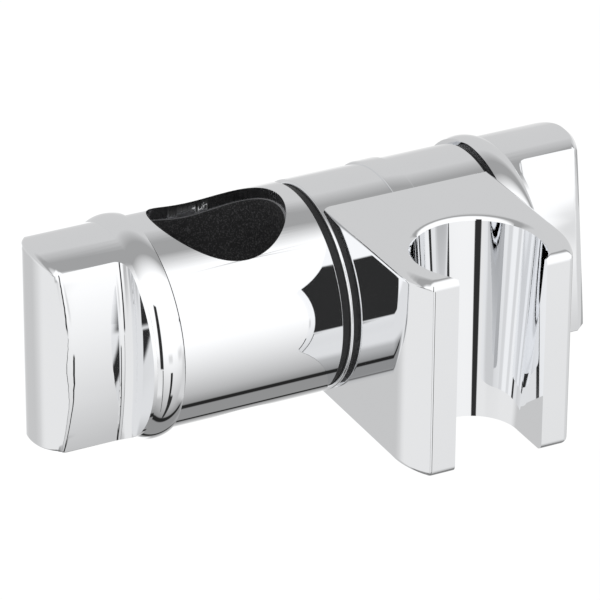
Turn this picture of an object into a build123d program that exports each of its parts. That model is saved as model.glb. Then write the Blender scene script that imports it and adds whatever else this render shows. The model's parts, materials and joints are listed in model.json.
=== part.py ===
from build123d import *
from math import cos, radians, sin, sqrt
import os

# Shower rail slider. The origin is where the rail's axis crosses the barrel's axis.
# X runs along the barrel from the clamp knob to the tilt knob, the holder's mouth faces -Y, Z is up.

# Rail and barrel
rail_r = 12.5
rail_gap = 0.15
liner_wall = 5.25
sleeve_wall = 2.0
liner_end_wall = 1.25
plug_flange = 2.3
shell_hole_step = 0.15
edge_break = 0.25
fit_gap = 0.1
face_gap = 0.05
beyond = 5.0

# Holder casting
hub_step = 0.1
band_rise = 0.4
band_width = 4.6
band_bevel = 0.25
block_back = -8.0
block_front = -44.8
block_lift = 0.7
front_taper = 3.0
front_taper_depth = 9.0
top_round = 1.8
bottom_round = 1.5
corner_round = 1.2
hub_bore_r = 12.0
hub_bore_depth = 22.0
web_thickness = 5.0
recess_wall = 4.6
recess_room = 0.2

# Handset seat, a cone that narrows downwards and opens at the front
seat_y = -35.5
seat_top_r = 12.2
seat_bottom_r = 9.0
seat_lip = 1.0

# Wing knobs
collar_step = 0.15
bead_rise = 1.0
bead_start_rise = 0.68
bead_crest = 1.9
bead_end = 5.1
bead_flats = 5
collar_face = 5.8
wing_length = 21.45
wing_edge_half = 8.25
wing_middle_half = 10.5
end_crown = 2.05
end_bevel = 1.1
scoop_r = 2.4
knob_wall = 2.2
core_gap = 0.3
tilt_knob_turn = 7.4

# Black rings in the joints
washer_inset = 0.7
washer_thickness = 1.8
tilt_ring_thickness = 1.0
clamp_ring_thickness = 0.25
ring_bore_r = 13.0

# Clamp screw, bush and shoe
clamp_boss_r = 7.6
clamp_boss_length = 7.8
shoe_width = 9.0
shoe_corner = 1.0
shoe_gap = 0.1
pocket_end_wall = 2.5
spindle_r = 4.0
spindle_flange_r = 4.3
spindle_flange = 1.0
spindle_thread_r = 2.95
spindle_thread_length = 4.1
spindle_hex = 6.9
spindle_hex_length = 7.0
clip_thickness = 0.8
clip_r = 6.2
clip_groove = 0.5
shoe_back_gap = 1.1
pad_thickness = 1.75
nut_length = 4.2
nut_outer_r = 3.9
nut_bore_r = 3.0
clamp_core_r = 9.9

# Swivel: trunnion plug, bolt, friction stack and nut
trunnion_r = 10.0
trunnion_length = 13.8
bolt_r = 3.95
bolt_head = 11.0
bolt_head_height = 5.0
bush_start_gap = 0.3
bush_length = 6.5
drag_ring_width = 2.9
drag_ring_depth = 2.9
disc_gap = 0.5
friction_disc_thickness = 1.5
thrust_washer_inset = 0.5
thrust_washer_thickness = 1.5
spring_width = 6.5
spring_rise = 1.2
spring_thickness = 0.8
spring_count = 2
collar_flange_r = 11.0
collar_flange = 0.95
tilt_nut_width = 15.0
tilt_nut_length = 5.75
nut_travel_room = 0.9
snap_wire = 0.7
snap_ring_width = 2.1
snap_ring_depth = 0.65
snap_wall = 1.4
snap_gap = 4.0

# Radii and places along the barrel, all worked out from the sizes above
liner_hole_r = rail_r + rail_gap
shell_hole_r = liner_hole_r + shell_hole_step
liner_r = liner_hole_r + liner_wall
sleeve_r = liner_r + fit_gap + sleeve_wall
hub_r = sleeve_r + hub_step
recess_r = hub_r - recess_wall
friction_disc_r = recess_r - disc_gap
thrust_washer_r = friction_disc_r - thrust_washer_inset
spring_inner_r = thrust_washer_r - spring_width
spring_height = spring_rise + spring_thickness
springs_length = spring_count * spring_height
stack_length = friction_disc_thickness + thrust_washer_thickness + springs_length + 4 * face_gap
holder_length = hub_bore_depth + web_thickness + stack_length + recess_room
collar_neck_r = tilt_nut_width / 2 - fit_gap
snap_groove_r = tilt_nut_width / 2 + snap_ring_width
tilt_core_r = snap_groove_r + snap_wall
collar_r = sleeve_r + collar_step
washer_r = sleeve_r - washer_inset
sleeve_length = 2 * (liner_hole_r + liner_end_wall + plug_flange)
sleeve_left = -sleeve_length / 2
sleeve_right = sleeve_length / 2
holder_left = sleeve_right + washer_thickness
holder_right = holder_left + holder_length
holder_middle = holder_left + holder_length / 2
tilt_inner_face = holder_right + tilt_ring_thickness
clamp_inner_face = sleeve_left - clamp_ring_thickness - face_gap
liner_left = sleeve_left + plug_flange
liner_right = sleeve_right - plug_flange
clamp_boss_end = sleeve_left - clamp_boss_length
pocket_end = clamp_boss_end + pocket_end_wall
pocket_width = shoe_width + 2 * shoe_gap
pad_back = liner_hole_r + pad_thickness
band_r = hub_r + band_rise
block_top = band_r
block_bottom = block_lift - hub_r
above = block_top + beyond
below = block_bottom - beyond

os.makedirs("parts", exist_ok=True)


def across(x):
    """The plane across the barrel at x, with Y to its right and Z up."""
    return Plane.YZ.offset(x)


def turned(points):
    """A sketch on XZ, with X along the barrel and Z as radius, that a revolve about X turns solid."""
    with BuildSketch(Plane.XZ) as profile:
        with BuildLine():
            Polyline(*points, close=True)
        make_face()
    return profile.sketch


def ring(x, length, outer_r, inner_r):
    """A plain ring round the barrel's axis, from x towards +X."""
    with BuildPart() as plain_ring:
        with BuildSketch(across(x)):
            Circle(outer_r)
            Circle(inner_r, mode=Mode.SUBTRACT)
        extrude(amount=length)
    return plain_ring


# Rail sleeve: a tube with the rail's hole straight through it
with BuildPart() as rail_sleeve:
    with BuildSketch(across(sleeve_left)):
        Circle(sleeve_r)
        Circle(sleeve_r - sleeve_wall, mode=Mode.SUBTRACT)
    extrude(amount=sleeve_length)
    chamfer(rail_sleeve.edges().filter_by(GeomType.CIRCLE).group_by(SortBy.RADIUS)[-1], edge_break)
    with BuildSketch(Plane.XY):
        Circle(shell_hole_r)
    extrude(amount=sleeve_r, both=True, mode=Mode.SUBTRACT)
rail_sleeve.part.label = "rail_sleeve"
export_step(rail_sleeve.part, "parts/rail_sleeve.step")

# Rail liner: fills the sleeve between its two plugs, bored for the rail, pocketed for the shoe
with BuildPart() as rail_liner:
    with BuildSketch(across(liner_left)):
        Circle(liner_r)
    extrude(amount=liner_right - liner_left)
    with BuildSketch(Plane.XY):
        Circle(liner_hole_r)
    extrude(amount=liner_r, both=True, mode=Mode.SUBTRACT)
    with BuildSketch(across(liner_left)):
        RectangleRounded(pocket_width, pocket_width, shoe_corner)
    extrude(amount=-liner_left, mode=Mode.SUBTRACT)
rail_liner.part.label = "rail_liner"
export_step(rail_liner.part, "parts/rail_liner.step")

# Clamp bush: closes the sleeve's left end, guides the square shoe and carries the screw's journal
with BuildPart() as clamp_bush:
    with BuildSketch(across(sleeve_left)):
        Circle(liner_r)
    extrude(amount=plug_flange)
    with BuildSketch(across(clamp_boss_end)):
        Circle(clamp_boss_r)
    extrude(amount=clamp_boss_length)
    with BuildSketch(across(pocket_end)):
        RectangleRounded(pocket_width, pocket_width, shoe_corner)
    extrude(amount=liner_left - pocket_end, mode=Mode.SUBTRACT)
    with BuildSketch(across(clamp_boss_end)):
        Circle(spindle_r + face_gap)
    extrude(amount=pocket_end_wall, mode=Mode.SUBTRACT)
clamp_bush.part.label = "clamp_bush"
export_step(clamp_bush.part, "parts/clamp_bush.step")

# Clamp spindle, from the thread in the shoe out to the hexagon in the knob
flange_back = pocket_end + face_gap
flange_front = flange_back + spindle_flange
washer_outer = clamp_boss_end - face_gap - clip_thickness
clip_outer = washer_outer - face_gap - clip_thickness
journal_end = clip_outer - clip_thickness
with BuildPart() as clamp_spindle:
    with BuildSketch(across(journal_end)):
        Circle(spindle_r)
    extrude(amount=flange_back - journal_end)
    with BuildSketch(across(flange_back)):
        Circle(spindle_flange_r)
    extrude(amount=spindle_flange)
    with BuildSketch(across(flange_front)):
        Circle(spindle_thread_r)
    extrude(amount=spindle_thread_length)
    chamfer(clamp_spindle.faces().sort_by(Axis.X)[-1].edges(), clip_groove)
    with BuildSketch(across(journal_end)):
        RegularPolygon(spindle_hex / 2, 6, major_radius=False)
    extrude(amount=-spindle_hex_length)
    with BuildSketch(across(clip_outer - face_gap)):
        Circle(spindle_r)
        Circle(spindle_r - clip_groove, mode=Mode.SUBTRACT)
    extrude(amount=clip_thickness + 2 * face_gap, mode=Mode.SUBTRACT)
clamp_spindle.part.label = "clamp_spindle"
export_step(clamp_spindle.part, "parts/clamp_spindle.step")

# Thrust washer and circlip, which hold the clamp spindle against its flange
clamp_thrust_washer = ring(washer_outer, clip_thickness, clip_r + 1, spindle_r + face_gap)
clamp_thrust_washer.part.label = "clamp_thrust_washer"
export_step(clamp_thrust_washer.part, "parts/clamp_thrust_washer.step")

with BuildPart() as spindle_circlip:
    with BuildSketch(across(clip_outer)):
        Circle(clip_r)
        Circle(spindle_r - clip_groove + face_gap, mode=Mode.SUBTRACT)
        with Locations((0, clip_r)):
            Rectangle(spindle_r, 2 * clip_r, mode=Mode.SUBTRACT)
    extrude(amount=clip_thickness)
spindle_circlip.part.label = "spindle_circlip"
export_step(spindle_circlip.part, "parts/spindle_circlip.step")

# Clamp shoe: a square plunger with a threaded insert behind and a rubber pad in front
shoe_back = flange_front + shoe_back_gap
with BuildPart() as clamp_shoe:
    with BuildSketch(across(shoe_back)):
        RectangleRounded(shoe_width, shoe_width, shoe_corner)
    extrude(amount=-pad_back - shoe_back)
    with BuildSketch(across(shoe_back)):
        Circle(nut_outer_r)
    extrude(amount=nut_length, mode=Mode.SUBTRACT)
clamp_shoe.part.label = "clamp_shoe"
export_step(clamp_shoe.part, "parts/clamp_shoe.step")

shoe_nut = ring(shoe_back, nut_length, nut_outer_r, nut_bore_r)
shoe_nut.part.label = "shoe_nut"
export_step(shoe_nut.part, "parts/shoe_nut.step")

with BuildPart() as shoe_pad:
    with BuildSketch(across(-pad_back)):
        RectangleRounded(shoe_width, shoe_width, shoe_corner)
    extrude(amount=pad_back)
    with BuildSketch(Plane.XY):
        with Locations((-rail_gap, 0)):
            Circle(rail_r)
        with Locations((rail_r / 2, 0)):
            Rectangle(rail_r, shoe_width * 2)
    extrude(amount=shoe_width, both=True, mode=Mode.SUBTRACT)
shoe_pad.part.label = "shoe_pad"
export_step(shoe_pad.part, "parts/shoe_pad.step")

# Swivel plug: closes the sleeve's right end, its trunnion carries the holder
trunnion_end = sleeve_right + trunnion_length
groove_centre = trunnion_end - drag_ring_width
groove_r = hub_bore_r - fit_gap - face_gap - drag_ring_depth
with BuildPart() as swivel_plug:
    with BuildSketch(across(liner_right)):
        Circle(liner_r)
    extrude(amount=plug_flange)
    with BuildSketch(across(sleeve_right)):
        Circle(trunnion_r)
    extrude(amount=trunnion_length)
    chamfer(swivel_plug.faces().sort_by(Axis.X)[-1].edges(), clip_groove)
    with BuildSketch(across(groove_centre - drag_ring_width / 2 - face_gap)):
        Circle(trunnion_r + 1)
        Circle(groove_r, mode=Mode.SUBTRACT)
    extrude(amount=drag_ring_width + 2 * face_gap, mode=Mode.SUBTRACT)
    with BuildSketch(across(liner_right)):
        RegularPolygon(bolt_head / 2 + fit_gap, 6, major_radius=False)
    extrude(amount=bolt_head_height + fit_gap, mode=Mode.SUBTRACT)
    with BuildSketch(across(liner_right)):
        Circle(bolt_r + fit_gap)
    extrude(amount=trunnion_end - liner_right, mode=Mode.SUBTRACT)
swivel_plug.part.label = "swivel_plug"
export_step(swivel_plug.part, "parts/swivel_plug.step")

# Black friction washer between the sleeve and the holder
friction_washer = ring(sleeve_right, washer_thickness - face_gap, washer_r, trunnion_r + fit_gap)
friction_washer.part.label = "friction_washer"
export_step(friction_washer.part, "parts/friction_washer.step")

# Bearing bush in the hub and the drag ring behind it
bush_start = holder_left + bush_start_gap
holder_bush = ring(bush_start, bush_length, hub_bore_r - face_gap, trunnion_r + face_gap)
holder_bush.part.label = "holder_bush"
export_step(holder_bush.part, "parts/holder_bush.step")

drag_ring = ring(
    groove_centre - drag_ring_width / 2, drag_ring_width, hub_bore_r - fit_gap, groove_r + face_gap
)
drag_ring.part.label = "drag_ring"
export_step(drag_ring.part, "parts/drag_ring.step")

# Friction stack in the holder's right recess, from the web outwards
web_face = holder_left + hub_bore_depth + web_thickness
disc_start = web_face + face_gap
thrust_start = disc_start + friction_disc_thickness + face_gap
spring_start = thrust_start + thrust_washer_thickness + face_gap
collar_start = spring_start + springs_length + face_gap
neck_start = collar_start + collar_flange

friction_disc = ring(disc_start, friction_disc_thickness, friction_disc_r, bolt_r + fit_gap)
friction_disc.part.label = "friction_disc"
export_step(friction_disc.part, "parts/friction_disc.step")

thrust_washer = ring(thrust_start, thrust_washer_thickness, thrust_washer_r, bolt_r + fit_gap)
thrust_washer.part.label = "thrust_washer"
export_step(thrust_washer.part, "parts/thrust_washer.step")


def disc_spring(x, rise):
    """One conical spring washer that starts at x and rises towards its rim by rise."""
    inner = x + max(-rise, 0)
    outer = x + max(rise, 0)
    return turned(
        [
            (inner, spring_inner_r),
            (outer, thrust_washer_r),
            (outer + spring_thickness, thrust_washer_r),
            (inner + spring_thickness, spring_inner_r),
        ]
    )


# The two springs stand rim to rim, with their inner edges on the washer and on the collar
with BuildPart() as disc_springs:
    add(disc_spring(spring_start, spring_rise))
    add(disc_spring(spring_start + spring_height, -spring_rise))
    revolve(axis=Axis.X)
disc_springs.part.label = "disc_springs"
export_step(disc_springs.part, "parts/disc_springs.step")

# Places of the right knob's snap ring, nut and hexagon socket
snap_start = tilt_inner_face + snap_ring_depth
nut_start = snap_start + snap_wire + face_gap
nut_end = nut_start + tilt_nut_length
socket_end = nut_end + nut_travel_room

# Spring collar, which carries the springs' load through the snap ring to the nut
with BuildPart() as spring_collar:
    with BuildSketch(across(collar_start)):
        Circle(collar_flange_r)
    extrude(amount=collar_flange)
    with BuildSketch(across(neck_start)):
        Circle(collar_neck_r)
    extrude(amount=nut_start - face_gap - neck_start)
    with BuildSketch(across(collar_start)):
        Circle(bolt_r + fit_gap)
    extrude(amount=nut_start - collar_start, mode=Mode.SUBTRACT)
spring_collar.part.label = "spring_collar"
export_step(spring_collar.part, "parts/spring_collar.step")

# Swivel spindle: a bolt whose hexagon head sits in the plug
end_clip_start = socket_end + face_gap
bolt_end = end_clip_start + 2 * clip_thickness
bolt_head_start = liner_right + face_gap
with BuildPart() as swivel_spindle:
    with BuildSketch(across(bolt_head_start)):
        RegularPolygon(bolt_head / 2, 6, major_radius=False)
    extrude(amount=bolt_head_height)
    with BuildSketch(across(bolt_head_start + bolt_head_height)):
        Circle(bolt_r)
    extrude(amount=bolt_end - bolt_head_start - bolt_head_height)
    chamfer(swivel_spindle.faces().sort_by(Axis.X)[-1].edges(), clip_groove)
    with BuildSketch(across(end_clip_start)):
        Circle(bolt_r)
        Circle(bolt_r - clip_groove, mode=Mode.SUBTRACT)
    extrude(amount=clip_thickness, mode=Mode.SUBTRACT)
swivel_spindle.part.label = "swivel_spindle"
export_step(swivel_spindle.part, "parts/swivel_spindle.step")

with BuildPart() as spindle_end_clip:
    with BuildSketch(across(end_clip_start + face_gap)):
        Circle(bolt_r + 1)
        Circle(bolt_r - clip_groove + face_gap, mode=Mode.SUBTRACT)
        with Locations((0, clip_r)):
            Rectangle(bolt_r, 2 * clip_r, mode=Mode.SUBTRACT)
    extrude(amount=clip_thickness - 2 * face_gap)
spindle_end_clip.part.label = "spindle_end_clip"
export_step(spindle_end_clip.part, "parts/spindle_end_clip.step")

# Holder: block with rounded edges, then the hub and its raised band, then the bores and the seat
with BuildPart() as holder:
    hub_floor_y = -sqrt(hub_r**2 - block_bottom**2)
    with BuildSketch(across(holder_left)):
        with BuildLine():
            Polyline(
                (block_back, block_top),
                (block_front, block_top),
                (block_front, block_bottom),
                (hub_floor_y, block_bottom),
                (hub_floor_y, 0),
                (block_back, 0),
                close=True,
            )
        make_face()
    extrude(amount=holder_length)
    with BuildSketch(Plane.XY.offset(below)):
        with BuildLine():
            taper = TangentArc(
                (holder_right, block_front + front_taper_depth),
                (holder_right - front_taper, block_front),
                tangent=(0, -1),
            )
            Polyline(taper @ 1, (holder_right, block_front), taper @ 0)
        make_face()
        mirror(about=Plane.YZ.offset(holder_middle))
    extrude(amount=above - below, mode=Mode.SUBTRACT)
    front_corners = holder.faces().sort_by(Axis.Y)[0].edges().filter_by(Axis.Z)
    fillet(front_corners, corner_round)
    bottom_edges = holder.faces().sort_by(Axis.Z)[0].edges().sort_by(Axis.Y)[:-1]
    fillet(bottom_edges, bottom_round)
    fillet(holder.faces().sort_by(Axis.Z)[-1].edges(), top_round)

    with BuildSketch(across(holder_left)):
        Circle(hub_r)
    extrude(amount=holder_length)
    with BuildSketch(Plane.XZ):
        with Locations((holder_middle, band_r / 2)):
            Rectangle(band_width, band_r)
        chamfer(vertices().group_by(Axis.Z)[-1], band_bevel)
    revolve(axis=Axis.X)

    with BuildSketch(across(holder_left)):
        Circle(hub_bore_r)
    extrude(amount=hub_bore_depth, mode=Mode.SUBTRACT)
    with BuildSketch(across(holder_right)):
        Circle(recess_r)
    extrude(amount=-(holder_length - hub_bore_depth - web_thickness), mode=Mode.SUBTRACT)
    with BuildSketch(across(holder_left)):
        Circle(bolt_r + core_gap)
    extrude(amount=holder_length, mode=Mode.SUBTRACT)

    seat_plane = Plane(origin=(holder_middle, seat_y, 0), x_dir=(1, 0, 0), z_dir=(0, -1, 0))
    with BuildSketch(seat_plane):
        with BuildLine():
            Polyline(
                (seat_top_r, block_top - seat_lip),
                (seat_top_r + seat_lip, block_top),
                (seat_top_r + seat_lip, above),
                (0, above),
                (0, below),
                (seat_bottom_r, below),
                (seat_bottom_r, block_bottom),
                close=True,
            )
        make_face()
    revolve(axis=Axis((holder_middle, seat_y, 0), (0, 0, 1)), mode=Mode.SUBTRACT)
    mouth_depth = seat_y - block_front
    with BuildSketch(Plane.XY.offset(below)):
        with Locations((holder_middle, seat_y - mouth_depth)):
            Rectangle(2 * seat_bottom_r, 2 * mouth_depth)
    extrude(amount=above - below, mode=Mode.SUBTRACT)
holder.part.label = "holder"
export_step(holder.part, "parts/holder.step")

# Black ring between the holder and the right knob
tilt_knob_ring = ring(holder_right, tilt_ring_thickness - face_gap, washer_r, ring_bore_r)
tilt_knob_ring.part.label = "tilt_knob_ring"
export_step(tilt_knob_ring.part, "parts/tilt_knob_ring.step")

# Black ring between the left knob and the sleeve
clamp_knob_ring = ring(clamp_inner_face, clamp_ring_thickness, washer_r, ring_bore_r)
clamp_knob_ring.part.label = "clamp_knob_ring"
export_step(clamp_knob_ring.part, "parts/clamp_knob_ring.step")


def knob_section(inner_face, outward, turn):
    """The plane of a knob's inner face, facing outward (+1 or -1 along X).

    Its x runs through the wing's thickness and its y along the wing's height. turn leans the wing's
    top back about the barrel, in degrees.
    """
    thickness = (0, cos(radians(turn)), -sin(radians(turn)))
    return Plane(origin=(inner_face, 0, 0), x_dir=thickness, z_dir=(outward, 0, 0))


def wing_knob(section, core_r):
    """A hollow wing knob with its bead collar on the given plane and a core of radius core_r."""
    plan = Plane(origin=section.origin, x_dir=section.z_dir, z_dir=section.y_dir)
    profile = Plane(origin=section.origin, x_dir=section.z_dir, z_dir=section.x_dir)
    axis = Axis(section.origin, section.z_dir)
    edge_height = sqrt(collar_r**2 - wing_edge_half**2)
    bulge = wing_middle_half - wing_edge_half
    bulge_r = (bulge**2 + edge_height**2) / (2 * bulge)
    tall = collar_r + 2 * scoop_r
    tall_half = wing_middle_half - bulge_r + sqrt(bulge_r**2 - tall**2)
    crown_r = (end_crown**2 + wing_edge_half**2) / (2 * end_crown)
    crown_start = wing_length - crown_r + sqrt(crown_r**2 - wing_middle_half**2)
    far = 2 * wing_length
    with BuildPart() as knob:
        # The grip, bulged front and back and drawn taller than it ends up
        with BuildSketch(section):
            with BuildLine():
                ThreePointArc((tall_half, -tall), (wing_middle_half, 0), (tall_half, tall))
                Line((tall_half, tall), (0, tall))
                Line((tall_half, -tall), (0, -tall))
                mirror(about=Plane.YZ)
            make_face()
        extrude(amount=wing_length)
        # The crowned end, an arc seen from above
        with BuildSketch(plan):
            with BuildLine():
                crown = ThreePointArc(
                    (crown_start, -wing_middle_half), (wing_length, 0), (crown_start, wing_middle_half)
                )
                Polyline(
                    crown @ 1,
                    (crown_start, tall),
                    (far, tall),
                    (far, -tall),
                    (crown_start, -tall),
                    crown @ 0,
                )
            make_face()
        extrude(amount=2 * tall, both=True, mode=Mode.SUBTRACT)
        # The disc face that the grip stands on, with a scoop along both its roots
        with BuildSketch(section):
            Circle(2 * collar_r)
        extrude(amount=collar_face)
        level = section.offset(collar_face)
        fillet(knob.edges().filter_by(lambda edge: is_root(edge, level)), scoop_r)
        # Everything is turned down to the bead, an arc made of flats, and to the collar's radius
        bead_r = collar_r + bead_rise
        bead_start_r = collar_r + bead_start_rise
        bead = ThreePointArc(
            (0, bead_start_r), (bead_crest, bead_r), (bead_end, collar_r), mode=Mode.PRIVATE
        )
        with BuildSketch(profile):
            with BuildLine():
                Polyline(
                    *[bead @ (step / bead_flats) for step in range(bead_flats + 1)],
                    (far, collar_r),
                    (far, 0),
                    (0, 0),
                    close=True,
                )
            make_face()
        revolve(axis=axis, mode=Mode.INTERSECT)
        chamfer(knob.faces().sort_by(axis)[-1].edges(), end_bevel)
        # The hollow behind the collar and inside the grip, around the core
        with BuildSketch(section):
            Circle(collar_r - knob_wall)
            Circle(core_r, mode=Mode.SUBTRACT)
        extrude(amount=collar_face - knob_wall, mode=Mode.SUBTRACT)
        with BuildSketch(section):
            Circle(collar_r - knob_wall)
            Rectangle(2 * (wing_edge_half - knob_wall), 2 * collar_r, mode=Mode.INTERSECT)
            Circle(core_r, mode=Mode.SUBTRACT)
        extrude(amount=wing_length - end_crown - knob_wall, mode=Mode.SUBTRACT)
    return knob.part


def is_root(edge, level):
    """Whether an edge is one of the two along which the grip stands on the disc face."""
    size = level.to_local_coords(edge).bounding_box().size
    on_level = abs(level.to_local_coords(edge.center()).Z) < face_gap and size.Z < face_gap
    return on_level and size.X < wing_edge_half


# Clamp knob, on the left, bored for the bush's boss and broached for the spindle's hexagon
clamp_section = knob_section(clamp_inner_face, -1, 0)
socket_start = clamp_inner_face - journal_end + face_gap
with BuildPart() as clamp_knob:
    add(wing_knob(clamp_section, clamp_core_r))
    with BuildSketch(clamp_section):
        Circle(clamp_boss_r + core_gap)
    extrude(amount=socket_start, mode=Mode.SUBTRACT)
    with BuildSketch(clamp_section.offset(socket_start)):
        RegularPolygon(spindle_hex / 2 + face_gap, 6, major_radius=False)
    extrude(amount=spindle_hex_length, mode=Mode.SUBTRACT)
clamp_knob.part.label = "clamp_knob"
export_step(clamp_knob.part, "parts/clamp_knob.step")

# Tilt knob, on the right: its hexagon socket turns the nut and lets it slide
tilt_section = knob_section(tilt_inner_face, 1, tilt_knob_turn)
with BuildPart() as tilt_knob:
    add(wing_knob(tilt_section, tilt_core_r))
    with BuildSketch(tilt_section):
        RegularPolygon(tilt_nut_width / 2 + fit_gap, 6, major_radius=False, rotation=30)
    extrude(amount=socket_end - tilt_inner_face, mode=Mode.SUBTRACT)
    with BuildSketch(across(snap_start - face_gap)):
        Circle(snap_groove_r)
    extrude(amount=snap_wire + 2 * face_gap, mode=Mode.SUBTRACT)
    with BuildSketch(tilt_section):
        Circle(bolt_r + 1 + core_gap)
    extrude(amount=bolt_end + core_gap - tilt_inner_face, mode=Mode.SUBTRACT)
tilt_knob.part.label = "tilt_knob"
export_step(tilt_knob.part, "parts/tilt_knob.step")

# Tilt nut, turned by the socket, and the snap ring that keeps the knob on it
with BuildPart() as tilt_nut:
    with BuildSketch(tilt_section.offset(nut_start - tilt_inner_face)):
        RegularPolygon(tilt_nut_width / 2, 6, major_radius=False, rotation=30)
        Circle(bolt_r + fit_gap, mode=Mode.SUBTRACT)
    extrude(amount=tilt_nut_length)
tilt_nut.part.label = "tilt_nut"
export_step(tilt_nut.part, "parts/tilt_nut.step")

with BuildPart() as tilt_knob_snap_ring:
    with BuildSketch(across(snap_start)):
        Circle(snap_groove_r - face_gap)
        Circle(tilt_nut_width / 2, mode=Mode.SUBTRACT)
        with Locations((0, snap_groove_r)):
            Rectangle(snap_gap, 2 * snap_groove_r, mode=Mode.SUBTRACT)
    extrude(amount=snap_wire)
tilt_knob_snap_ring.part.label = "tilt_knob_snap_ring"
export_step(tilt_knob_snap_ring.part, "parts/tilt_knob_snap_ring.step")
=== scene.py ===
import bpy
import json
import math
from mathutils import Matrix, Vector


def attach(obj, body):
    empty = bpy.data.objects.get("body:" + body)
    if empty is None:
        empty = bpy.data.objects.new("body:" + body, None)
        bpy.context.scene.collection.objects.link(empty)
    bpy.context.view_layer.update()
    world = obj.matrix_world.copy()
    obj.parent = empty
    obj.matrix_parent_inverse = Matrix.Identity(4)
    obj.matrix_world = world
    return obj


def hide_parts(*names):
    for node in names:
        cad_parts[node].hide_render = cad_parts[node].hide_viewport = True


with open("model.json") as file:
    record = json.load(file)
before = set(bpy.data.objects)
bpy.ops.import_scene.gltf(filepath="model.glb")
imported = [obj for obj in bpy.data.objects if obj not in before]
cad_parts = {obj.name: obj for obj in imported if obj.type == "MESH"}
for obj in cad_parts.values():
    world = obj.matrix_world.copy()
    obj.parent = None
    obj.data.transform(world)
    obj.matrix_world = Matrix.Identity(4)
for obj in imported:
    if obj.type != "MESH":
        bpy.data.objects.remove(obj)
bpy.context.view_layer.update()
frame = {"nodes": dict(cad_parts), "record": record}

nodes = frame["nodes"]
scene = bpy.context.scene
slotOf = {part["node"]: part["material_slot"] for part in frame["record"]["subparts"]}
bodyOf = {
    node: body
    for body, members in frame["record"]["behaviour"]["bodies"].items()
    for node in members
}
mergeDistance = 1e-7  # metres, for corners that meet


def deselectAll():
    bpy.ops.object.select_all(action="DESELECT")


def makeActive(piece):
    deselectAll()
    piece.select_set(True)
    bpy.context.view_layer.objects.active = piece


# Small helpers for node trees. A value is a number or another node's output.


def addNode(tree, kind, **values):
    node = tree.nodes.new(kind)
    for name, value in values.items():
        setattr(node, name, value)
    return node


def feed(tree, socket, value):
    if isinstance(value, (int, float)):
        socket.default_value = value
    else:
        tree.links.new(value, socket)


def calculate(tree, operation, *values, **options):
    node = addNode(tree, "ShaderNodeMath", operation=operation, **options)
    for socket, value in zip(node.inputs, values):
        feed(tree, socket, value)
    return node.outputs[0]


def remap(tree, source, low, high, toLow=0.0, toHigh=1.0, smooth=False):
    kind = "SMOOTHSTEP" if smooth else "LINEAR"
    node = addNode(tree, "ShaderNodeMapRange", interpolation_type=kind)
    labels = ("From Min", "From Max", "To Min", "To Max")
    for label, value in zip(labels, (low, high, toLow, toHigh)):
        node.inputs[label].default_value = value
    tree.links.new(source, node.inputs["Value"])
    return node.outputs["Result"]


def blend(tree, share, first, second):
    node = addNode(tree, "ShaderNodeMix", data_type="FLOAT")
    for label, value in (("Factor", share), ("A", first), ("B", second)):
        feed(tree, node.inputs[label], value)
    return node.outputs["Result"]


def barrelPlace(tree):
    # the place along the barrel and the distance from its axis
    place = addNode(tree, "ShaderNodeTexCoord")
    split = addNode(tree, "ShaderNodeSeparateXYZ")
    tree.links.new(place.outputs["Object"], split.inputs[0])
    across = addNode(tree, "ShaderNodeCombineXYZ")
    tree.links.new(split.outputs["Y"], across.inputs["X"])
    tree.links.new(split.outputs["Z"], across.inputs["Y"])
    radius = addNode(tree, "ShaderNodeVectorMath", operation="LENGTH")
    tree.links.new(across.outputs[0], radius.inputs[0])
    return split.outputs["X"], radius.outputs["Value"]


# Node groups that several finishes share


def newGroup(name, inputs, outputs):
    group = bpy.data.node_groups.new(name, "ShaderNodeTree")
    kind = "NodeSocketFloat"
    for label, default in inputs:
        socket = group.interface.new_socket(label, in_out="INPUT", socket_type=kind)
        socket.default_value = default
    for label in outputs:
        group.interface.new_socket(label, in_out="OUTPUT", socket_type=kind)
    return group, group.nodes.new("NodeGroupInput"), group.nodes.new("NodeGroupOutput")


def makeGrainGroup(speckleGain=9.0):
    inputs = [("Scale", 1500.0), ("Detail", 3.0), ("Cut", 0.5)]
    group, given, result = newGroup("fineGrain", inputs, ["Grain", "Speckle"])
    place = addNode(group, "ShaderNodeTexCoord")
    noise = addNode(group, "ShaderNodeTexNoise")
    group.links.new(place.outputs["Object"], noise.inputs["Vector"])
    group.links.new(given.outputs["Scale"], noise.inputs["Scale"])
    group.links.new(given.outputs["Detail"], noise.inputs["Detail"])
    above = calculate(group, "SUBTRACT", noise.outputs["Fac"], given.outputs["Cut"])
    speckle = calculate(group, "MULTIPLY", above, speckleGain, use_clamp=True)
    group.links.new(noise.outputs["Fac"], result.inputs["Grain"])
    group.links.new(speckle, result.inputs["Speckle"])
    return group


def makeTurningGroup(detail=2.0):
    # fine lathe lines round the barrel's axis, on flats as rings and on cylinders as rounds
    inputs = [("Lines per metre", 9000.0)]
    group, given, result = newGroup("turningLines", inputs, ["Line"])
    along, radius = barrelPlace(group)
    lines = addNode(group, "ShaderNodeTexNoise", noise_dimensions="1D")
    lines.inputs["Detail"].default_value = detail
    group.links.new(calculate(group, "ADD", radius, along), lines.inputs["W"])
    group.links.new(given.outputs["Lines per metre"], lines.inputs["Scale"])
    group.links.new(lines.outputs["Fac"], result.inputs["Line"])
    return group


grainGroup = makeGrainGroup()
turningGroup = makeTurningGroup()


# Finishes. "dark", "light" and "roughness" are the ends that the pattern runs between.

patternRange = (0.3, 0.7)  # where most of the noise lies


def newMaterial(name):
    material = bpy.data.materials.new(name)
    material.use_nodes = True
    return material, material.node_tree, material.node_tree.nodes["Principled BSDF"]


def placeGroup(tree, group, **values):
    node = addNode(tree, "ShaderNodeGroup", node_tree=group)
    for label, value in values.items():
        node.inputs[label.replace("_", " ")].default_value = value
    return node.outputs


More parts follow.
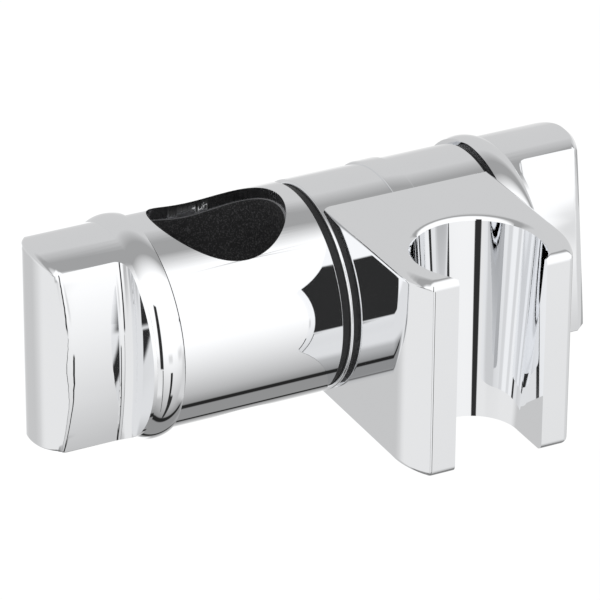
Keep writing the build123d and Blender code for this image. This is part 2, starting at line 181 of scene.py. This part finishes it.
def placeGrain(tree, look, **values):
    return placeGroup(tree, grainGroup, Scale=look["grain"], Detail=look["detail"], **values)


def tint(tree, source, dark, light):
    mix = addNode(tree, "ShaderNodeMix", data_type="RGBA")
    mix.inputs["A"].default_value = (*dark, 1)
    mix.inputs["B"].default_value = (*light, 1)
    tree.links.new(source, mix.inputs["Factor"])
    return mix.outputs["Result"]


def relief(tree, source, strength, depth):
    bump = addNode(tree, "ShaderNodeBump")
    bump.inputs["Strength"].default_value = strength
    bump.inputs["Distance"].default_value = depth
    tree.links.new(source, bump.inputs["Height"])
    return bump.outputs["Normal"]


def dress(tree, shader, look, colour, pattern):
    tree.links.new(colour, shader.inputs["Base Color"])
    roughness = remap(tree, pattern, *patternRange, *look["roughness"])
    tree.links.new(roughness, shader.inputs["Roughness"])
    if "depth" in look:
        bumps = relief(tree, pattern, look["strength"], look["depth"])
        tree.links.new(bumps, shader.inputs["Normal"])


chromeLook = {
    "dark": (0.905, 0.913, 0.927),
    "light": (0.922, 0.929, 0.942),
    "roughness": (0.012, 0.03),
    "grain": 90.0,
    "detail": 2.0,
}


def makeChrome():
    material, tree, shader = newMaterial("polishedChrome")
    haze = placeGrain(tree, chromeLook)["Grain"]
    colour = tint(tree, haze, chromeLook["dark"], chromeLook["light"])
    dress(tree, shader, chromeLook, colour, haze)
    shader.inputs["Metallic"].default_value = 1.0
    return material


linerLook = {
    "dark": (0.02, 0.02, 0.021),
    "light": (0.085, 0.085, 0.088),
    "rim": (0.26, 0.26, 0.27),  # painted highlight: a lighter band standing for light caught where the hole's wall meets the outside
    "rimRadius": (0.01774, 0.01786),
    "roughness": (0.45, 0.7),
    "grain": 3600.0,
    "detail": 2.5,
    "cut": 0.52,
    "strength": 0.6,
    "depth": 0.00008,
}


def makeLiner():
    material, tree, shader = newMaterial("grainedLiner")
    grain = placeGrain(tree, linerLook, Cut=linerLook["cut"])
    radius = barrelPlace(tree)[1]
    # painted highlight: the liner's colour turns light grey at its outer radius, where the hole's
    # wall meets the outside
    rim = addNode(tree, "ShaderNodeMix", data_type="RGBA")
    colour = tint(tree, grain["Speckle"], linerLook["dark"], linerLook["light"])
    tree.links.new(colour, rim.inputs["A"])
    rim.inputs["B"].default_value = (*linerLook["rim"], 1)
    tree.links.new(remap(tree, radius, *linerLook["rimRadius"]), rim.inputs["Factor"])
    dress(tree, shader, linerLook, rim.outputs["Result"], grain["Grain"])
    return material


def makePlastic(name, look):
    material, tree, shader = newMaterial(name)
    grain = placeGrain(tree, look)["Grain"]
    dress(tree, shader, look, tint(tree, grain, look["dark"], look["light"]), grain)
    return material


ringLook = {
    "dark": (0.006, 0.006, 0.007),
    "light": (0.013, 0.013, 0.014),
    "roughness": (0.42, 0.5),
    "grain": 1800.0,
    "detail": 3.0,
    "strength": 0.3,
    "depth": 0.00001,
}
rubberLook = {
    "dark": (0.012, 0.012, 0.012),
    "light": (0.035, 0.035, 0.036),
    "roughness": (0.7, 0.9),
    "grain": 2200.0,
    "detail": 3.0,
    "strength": 0.3,
    "depth": 0.00006,
}
bushLook = {
    "dark": (0.74, 0.73, 0.68),
    "light": (0.82, 0.81, 0.77),
    "roughness": (0.4, 0.5),
    "grain": 300.0,
    "detail": 3.0,
    "strength": 0.3,
    "depth": 0.00002,
}


def makeTurned(name, look):
    material, tree, shader = newMaterial(name)
    line = placeGroup(tree, turningGroup, Lines_per_metre=look["lines"])["Line"]
    dress(tree, shader, look, tint(tree, line, look["dark"], look["light"]), line)
    shader.inputs["Metallic"].default_value = 1.0
    return material


brassLook = {
    "dark": (0.62, 0.46, 0.2),
    "light": (0.8, 0.63, 0.32),
    "roughness": (0.18, 0.32),
    "lines": 7000.0,
    "strength": 0.25,
    "depth": 0.00002,
}
steelLook = {
    "dark": (0.52, 0.52, 0.51),
    "light": (0.7, 0.7, 0.69),
    "roughness": (0.2, 0.36),
    "lines": 9000.0,
    "strength": 0.25,
    "depth": 0.00002,
}

finishes = {
    "chrome": makeChrome(),
    "black_liner": makeLiner(),
    "black_ring": makePlastic("smoothBlack", ringLook),
    "rubber": makePlastic("dullRubber", rubberLook),
    "white_bush": makePlastic("naturalAcetal", bushLook),
    "brass": makeTurned("turnedBrass", brassLook),
    "steel": makeTurned("turnedSteel", steelLook),
}
for node, piece in nodes.items():
    piece.data.materials.clear()
    piece.data.materials.append(finishes[slotOf[node]])
print("finishes made:", len(finishes))


# The handset seat is cut again, a hair wider and finer, because its walls mirror each other
seat = {
    "middle": (0.0352, -0.0355),
    "bottomRadius": 0.00902,
    "topRadius": 0.01222,
    "bottom": -0.0194,
    "top": 0.0195,
    "lipRadius": 0.0011,
    "lipSteps": 6,
    "pastBottom": 0.002,
    "pastLip": 0.003,
}
roundSides = 240


def seatCutter():
    slope = (seat["topRadius"] - seat["bottomRadius"]) / (seat["top"] - seat["bottom"])
    low = seat["bottom"] - seat["pastBottom"]
    deselectAll()
    bpy.ops.mesh.primitive_cone_add(
        vertices=roundSides,
        radius1=seat["bottomRadius"] - seat["pastBottom"] * slope,
        radius2=seat["topRadius"],
        depth=seat["top"] - low,
        location=(*seat["middle"], (seat["top"] + low) / 2),
    )
    cutter = bpy.context.object
    bpy.ops.object.transform_apply(location=True, rotation=False, scale=False)
    bpy.ops.object.mode_set(mode="EDIT")
    bpy.ops.mesh.select_all(action="DESELECT")
    bpy.ops.object.mode_set(mode="OBJECT")
    for face in cutter.data.polygons:
        face.select = face.normal.z > 0.9  # the cone's top
    bpy.ops.object.mode_set(mode="EDIT")
    bpy.ops.mesh.select_mode(type="FACE")
    lipRadius = seat["lipRadius"]
    turns = [math.pi / 2 * step / seat["lipSteps"] for step in range(seat["lipSteps"] + 1)]
    moves = [
        (lipRadius * (math.sin(b) - math.sin(a)), lipRadius * (math.cos(a) - math.cos(b)))
        for a, b in zip(turns, turns[1:])
    ]
    height, radius = seat["top"], seat["topRadius"]
    for rise, width in moves + [(seat["pastLip"], 0.0)]:
        bpy.ops.mesh.extrude_region_move(TRANSFORM_OT_translate={"value": (0, 0, rise)})
        height += rise
        grown = (radius + width) / radius
        bpy.ops.transform.resize(value=(grown, grown, 1), center_override=(*seat["middle"], height))
        radius += width
    bpy.ops.object.mode_set(mode="OBJECT")
    return cutter


def holeCutter(radius, length=0.05):
    deselectAll()
    bpy.ops.mesh.primitive_cylinder_add(vertices=roundSides, radius=radius, depth=length)
    return bpy.context.object


def spunRing(name, profile):
    # a ring round the barrel's axis, from a profile of places along it and radii
    deselectAll()
    bpy.ops.mesh.primitive_circle_add(vertices=len(profile), radius=knobBead["end"][1])
    ring = bpy.context.object
    ring.name = name
    for vertex, (along, radius) in zip(ring.data.vertices, profile):
        vertex.co = (along, 0, radius)
    bpy.ops.object.mode_set(mode="EDIT")
    bpy.ops.mesh.select_all(action="SELECT")
    bpy.ops.mesh.spin(steps=roundSides, angle=2 * math.pi, center=(0, 0, 0), axis=(1, 0, 0))
    bpy.ops.mesh.select_all(action="SELECT")
    bpy.ops.mesh.remove_doubles(threshold=mergeDistance)
    bpy.ops.mesh.normals_make_consistent(inside=False)
    bpy.ops.object.mode_set(mode="OBJECT")
    return ring


# The knobs' round bead, an arc through three places (along the barrel, radius)
knobBead = {
    "start": (0.0, 0.02085),
    "crest": (0.0019, 0.02117),
    "end": (0.0051, 0.020165),
    "foot": 0.019,
    "steps": 14,
}


def circleThrough(first, second, third):
    (ax, ay), (bx, by), (cx, cy) = first, second, third
    turn = 2 * (ax * (by - cy) + bx * (cy - ay) + cx * (ay - by))
    squares = [x * x + y * y for x, y in (first, second, third)]
    middleX = (squares[0] * (by - cy) + squares[1] * (cy - ay) + squares[2] * (ay - by)) / turn
    middleY = (squares[0] * (cx - bx) + squares[1] * (ax - cx) + squares[2] * (bx - ax)) / turn
    return middleX, middleY, math.hypot(ax - middleX, ay - middleY)


def beadRing(face, outward):
    middleX, middleY, radius = circleThrough(knobBead["start"], knobBead["crest"], knobBead["end"])
    length = knobBead["end"][0]
    places = [length * step / knobBead["steps"] for step in range(knobBead["steps"] + 1)]
    profile = [
        (face + outward * along, middleY + math.sqrt(radius**2 - (along - middleX) ** 2))
        for along in places
    ]
    profile += [(face + outward * length, knobBead["foot"]), (face, knobBead["foot"])]
    return spunRing("bead", profile)


# The bright lip of the holder's hub, beside the black washer
hubLip = {"left": 0.01772, "right": 0.0181, "outer": 0.02, "inner": 0.0194, "edge": 0.00008}


def lipRing():
    edge = hubLip["edge"]
    return spunRing("lip", [
        (hubLip["left"], hubLip["inner"]),
        (hubLip["left"], hubLip["outer"] - edge),
        (hubLip["left"] + edge, hubLip["outer"]),
        (hubLip["right"], hubLip["outer"]),
        (hubLip["right"], hubLip["inner"]),
    ])


def combine(piece, tool, operation="DIFFERENCE"):
    makeActive(piece)
    cut = piece.modifiers.new("cut", "BOOLEAN")
    cut.operation = operation
    cut.solver = "EXACT"
    cut.object = tool
    bpy.ops.object.modifier_apply(modifier=cut.name)
    bpy.data.objects.remove(tool, do_unlink=True)
    makeActive(piece)


# Polished pieces, copied from the frame and made finer. Angles are in degrees.
polish = {
    "rail_sleeve": {"name": "sleeveShell", "smooth": 50, "bevel": 0.0003, "railHole": 0.01283},
    "holder": {"name": "holderCasting", "smooth": 50, "seat": True},
    "clamp_knob": {"name": "clampKnobShell", "smooth": 50, "bead": (-0.0165, -1)},
    "tilt_knob": {"name": "tiltKnobShell", "smooth": 50, "bead": (0.0534, 1)},
    "rail_liner": {"name": "linerMoulding", "smooth": 30, "bevel": 0.00018, "railHole": 0.01267},
}
flatWithin = 0.2
bevelOver = 60


def standFor(piece, node):
    piece.data.materials.clear()
    piece.data.materials.append(finishes[slotOf[node]])
    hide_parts(node)
    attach(piece, bodyOf[node])
    print("made", piece.name, "with", len(piece.data.polygons), "faces")


def polishedCopy(node, settings):
    piece = bpy.data.objects.new(settings["name"], nodes[node].data.copy())
    piece.data.name = settings["name"]
    scene.collection.objects.link(piece)
    makeActive(piece)
    if piece.data.has_custom_normals:
        bpy.ops.mesh.customdata_custom_splitnormals_clear()
    bpy.ops.object.mode_set(mode="EDIT")
    bpy.ops.mesh.select_all(action="SELECT")
    bpy.ops.mesh.remove_doubles(threshold=mergeDistance)
    bpy.ops.mesh.dissolve_limited(angle_limit=math.radians(flatWithin))
    bpy.ops.object.mode_set(mode="OBJECT")
    if settings.get("seat"):
        combine(piece, seatCutter())
        combine(piece, lipRing(), "UNION")
    if settings.get("bead"):
        combine(piece, beadRing(*settings["bead"]), "UNION")
    if settings.get("railHole"):
        combine(piece, holeCutter(settings["railHole"]))
    if settings.get("bevel"):
        edges = piece.modifiers.new("edges", "BEVEL")
        edges.width = settings["bevel"]
        edges.segments = 2
        edges.limit_method = "ANGLE"
        edges.angle_limit = math.radians(bevelOver)
        bpy.ops.object.modifier_apply(modifier=edges.name)
    bpy.ops.object.shade_smooth_by_angle(angle=math.radians(settings["smooth"]))
    even = piece.modifiers.new("even", "WEIGHTED_NORMAL")
    even.keep_sharp = True
    bpy.ops.object.modifier_apply(modifier=even.name)
    standFor(piece, node)


for node, settings in polish.items():
    polishedCopy(node, settings)


# The black ring that fills the joint between the left knob and the sleeve
jointRing = {
    "left": -0.0165,
    "right": -0.01588,
    "step": -0.01625,
    "outer": 0.01998,
    "inner": 0.0193,
    "groove": 0.01966,
    "smooth": 30,
}


def makeJointRing():
    ring = spunRing("knobJointRing", [
        (jointRing["left"], jointRing["inner"]),
        (jointRing["left"], jointRing["outer"]),
        (jointRing["right"], jointRing["outer"]),
        (jointRing["step"], jointRing["groove"]),
        (jointRing["step"], jointRing["inner"]),
    ])
    bpy.ops.object.shade_smooth_by_angle(angle=math.radians(jointRing["smooth"]))
    standFor(ring, "clamp_knob_ring")


makeJointRing()


studio = {
    "floorHeight": -0.14,
    "floorSize": 3.0,
    "floorColour": (0.9, 0.9, 0.9),
    "floorRoughness": 0.9,
    "floorShadow": 0.2,
    "floorGlow": 1.12,
    "fill": 0.55,
}

# What polished metal sees around the object, in levels from 0 to 1 and a little over.
# tent: by the angle over the barrel, from the back horizon (0) over the top (90),
# the front (180) and below (270).
# surfaces: patches in front of the tent, with the middle and half width by compass, from 0
# behind the object over 90 on its right, the height from low to high, the level, and how
# soft the edge is, all but the level in degrees.
room = {
    "tent": [
        # painted shadow: past the front (185) the tent falls to grey, with black lines and a grey
        # band below, standing for the floor in the object's own shadow and its contact shadow, with
        # a table edge
        (0, 0.65), (45, 0.65), (65, 0.38), (82, 0.38), (104, 1.1), (185, 1.1),
        (215, 0.8), (245, 0.5), (259, 0.3), (261, 0.02), (266, 0.02), (268, 0.3),
        (292, 0.3), (294, 0.02), (297, 0.02), (300, 0.35), (325, 0.9), (360, 0.65),
    ],
    "surfaces": {
        "paleFloorLeft": ((-100, 52), (-50, -12), 0.85, 8),
        "paleFloorRight": ((95, 35), (-50, -12), 0.7, 10),
        "greyWallLeft": ((-28, 20), (-55, -12), 0.6, 24),
        "greyWallRight": ((62, 10), (-55, -12), 0.4, 12),
        "whiteGap": ((8, 17), (-55, -12), 1.1, 6),
        "greyFront": ((176, 7), (-15, -7), 0.78, 6),
        "greyFrontRight": ((139, 8), (-15, -6), 0.78, 8),
        "greyLeft": ((-110, 16), (-16, -6), 0.5, 12),
        "lampStand": ((173, 4), (-60, -25), 0.02, 1.5),
        "cameraStand": ((-152, 5.5), (-21, 40), 0.03, 2),
        "cameraFoot": ((-155, 1.3), (-70, -22), 0.03, 1),
        "darkBelow": ((167, 9), (-80, -50), 0.03, 4),
    },
}


def isSeen(tree):
    # 1 for camera, glossy and transmission rays, 0 for the rays that light the object
    path = addNode(tree, "ShaderNodeLightPath").outputs
    seen = calculate(tree, "MAXIMUM", path["Is Camera Ray"], path["Is Glossy Ray"])
    return calculate(tree, "MAXIMUM", seen, path["Is Transmission Ray"])


def levelRamp(tree, source, stops):
    # the level at each angle, with straight runs between the stops
    level = stops[0][1]
    for (low, fromLevel), (high, toLevel) in zip(stops, stops[1:]):
        if fromLevel != toLevel:
            change = remap(tree, source, low, high, 0.0, toLevel - fromLevel)
            level = calculate(tree, "ADD", change, level)
    return level


def inDegrees(tree, operation, *values):
    angle = calculate(tree, operation, *values)
    return calculate(tree, "MULTIPLY", angle, math.degrees(1))


def makeRoom(tree):
    place = addNode(tree, "ShaderNodeTexCoord")
    split = addNode(tree, "ShaderNodeSeparateXYZ")
    tree.links.new(place.outputs["Generated"], split.inputs[0])
    x, y, z = split.outputs
    over = calculate(tree, "WRAP", inDegrees(tree, "ARCTAN2", z, y), 360.0, 0.0)
    compass = inDegrees(tree, "ARCTAN2", x, y)
    height = inDegrees(tree, "ARCSINE", z)
    level = levelRamp(tree, over, room["tent"])
    for (middle, half), (low, high), shade, softness in room["surfaces"].values():
        soft = softness / 2
        away = calculate(tree, "SUBTRACT", compass, middle)
        away = calculate(tree, "ABSOLUTE", calculate(tree, "WRAP", away, 180.0, -180.0))
        inside = remap(tree, away, half + soft, half - soft, smooth=True)
        for edge, side in ((low, soft), (high, -soft)):
            within = remap(tree, height, edge - side, edge + side, smooth=True)
            inside = calculate(tree, "MULTIPLY", inside, within)
        level = blend(tree, inside, level, shade)
    return level


def makeWorld():
    world = bpy.data.worlds.new("studioWorld")
    world.use_nodes = True
    scene.world = world
    tree = world.node_tree
    background = tree.nodes["Background"]
    background.inputs["Color"].default_value = (1, 1, 1, 1)
    path = addNode(tree, "ShaderNodeLightPath").outputs
    notCamera = calculate(tree, "SUBTRACT", 1.0, path["Is Camera Ray"])
    mirror = calculate(tree, "MULTIPLY", path["Is Glossy Ray"], notCamera)
    plain = remap(tree, isSeen(tree), 0, 1, studio["fill"], 1.0)
    tree.links.new(blend(tree, mirror, plain, makeRoom(tree)), background.inputs["Strength"])


def makeFloor():
    deselectAll()
    place = (0, 0, studio["floorHeight"])
    bpy.ops.mesh.primitive_plane_add(size=studio["floorSize"], location=place)
    floor = bpy.context.object
    floor.name = "floor"
    material, tree, shader = newMaterial("paleFloor")
    shader.inputs["Base Color"].default_value = (*studio["floorColour"], 1)
    shader.inputs["Roughness"].default_value = studio["floorRoughness"]
    shader.inputs["Specular IOR Level"].default_value = 0.0
    glow = addNode(tree, "ShaderNodeEmission")
    glow.inputs["Strength"].default_value = studio["floorGlow"]
    mix = addNode(tree, "ShaderNodeMixShader")
    share = calculate(tree, "MULTIPLY", isSeen(tree), 1 - studio["floorShadow"])
    tree.links.new(share, mix.inputs["Fac"])
    tree.links.new(shader.outputs[0], mix.inputs[1])
    tree.links.new(glow.outputs[0], mix.inputs[2])
    tree.links.new(mix.outputs[0], tree.nodes["Material Output"].inputs["Surface"])
    floor.data.materials.append(material)
    floor.visible_glossy = False


lampTarget = (0.018, 0, 0)  # the middle of the barrel
lamps = [
    {"name": "keyLamp", "place": (-0.9, -1.1, 1.3), "size": 1.2, "power": 9.0},
    {"name": "fillLamp", "place": (1.4, -0.8, 0.7), "size": 1.2, "power": 4.0},
]


def makeLamps():
    for settings in lamps:
        deselectAll()
        bpy.ops.object.light_add(type="AREA", location=settings["place"])
        lamp = bpy.context.object
        lamp.name = settings["name"]
        lamp.data.size = settings["size"]
        lamp.data.energy = settings["power"]
        lamp.visible_glossy = False
        towards = Vector(lampTarget) - lamp.location
        lamp.rotation_mode = "QUATERNION"
        lamp.rotation_quaternion = towards.to_track_quat("-Z", "Y")


makeWorld()
makeFloor()
makeLamps()
print("studio made:", len(lamps), "lamps,", len(room["surfaces"]), "surfaces")


# The photograph's viewing angle, in degrees, metres and pixels
viewpoint = {
    "azimuth": -27.35,
    "elevation": 27.70,
    "roll": 0.47,
    "distance": 0.92355,
    "focalPixels": 5001.0,
    "framePixels": 600,
    "originPixel": (216.13, 305.21),
    "sensor": 36.0,
    "clip": (0.01, 20),
}


def makeCamera():
    azimuth = math.radians(viewpoint["azimuth"])
    elevation = math.radians(viewpoint["elevation"])
    roll = math.radians(viewpoint["roll"])
    forward = Vector((
        -math.sin(azimuth) * math.cos(elevation),
        math.cos(azimuth) * math.cos(elevation),
        -math.sin(elevation),
    ))
    level = Vector((math.cos(azimuth), math.sin(azimuth), 0))
    upward = level.cross(forward)
    right = math.cos(roll) * level + math.sin(roll) * upward
    top = -math.sin(roll) * level + math.cos(roll) * upward
    middle = viewpoint["framePixels"] / 2
    perPixel = viewpoint["distance"] / viewpoint["focalPixels"]
    aside = (viewpoint["originPixel"][0] - middle) * perPixel
    below = (viewpoint["originPixel"][1] - middle) * perPixel
    data = bpy.data.cameras.new("photoCamera")
    camera = bpy.data.objects.new("photoCamera", data)
    scene.collection.objects.link(camera)
    place = -(viewpoint["distance"] * forward + aside * right - below * top)
    turned = Matrix((right, top, -forward)).transposed().to_4x4()
    camera.matrix_world = Matrix.Translation(place) @ turned
    data.sensor_width = viewpoint["sensor"]
    data.lens = viewpoint["focalPixels"] / viewpoint["framePixels"] * viewpoint["sensor"]
    data.clip_start, data.clip_end = viewpoint["clip"]
    scene.camera = camera


makeCamera()
scene.view_settings.view_transform = "Standard"
print("camera placed")
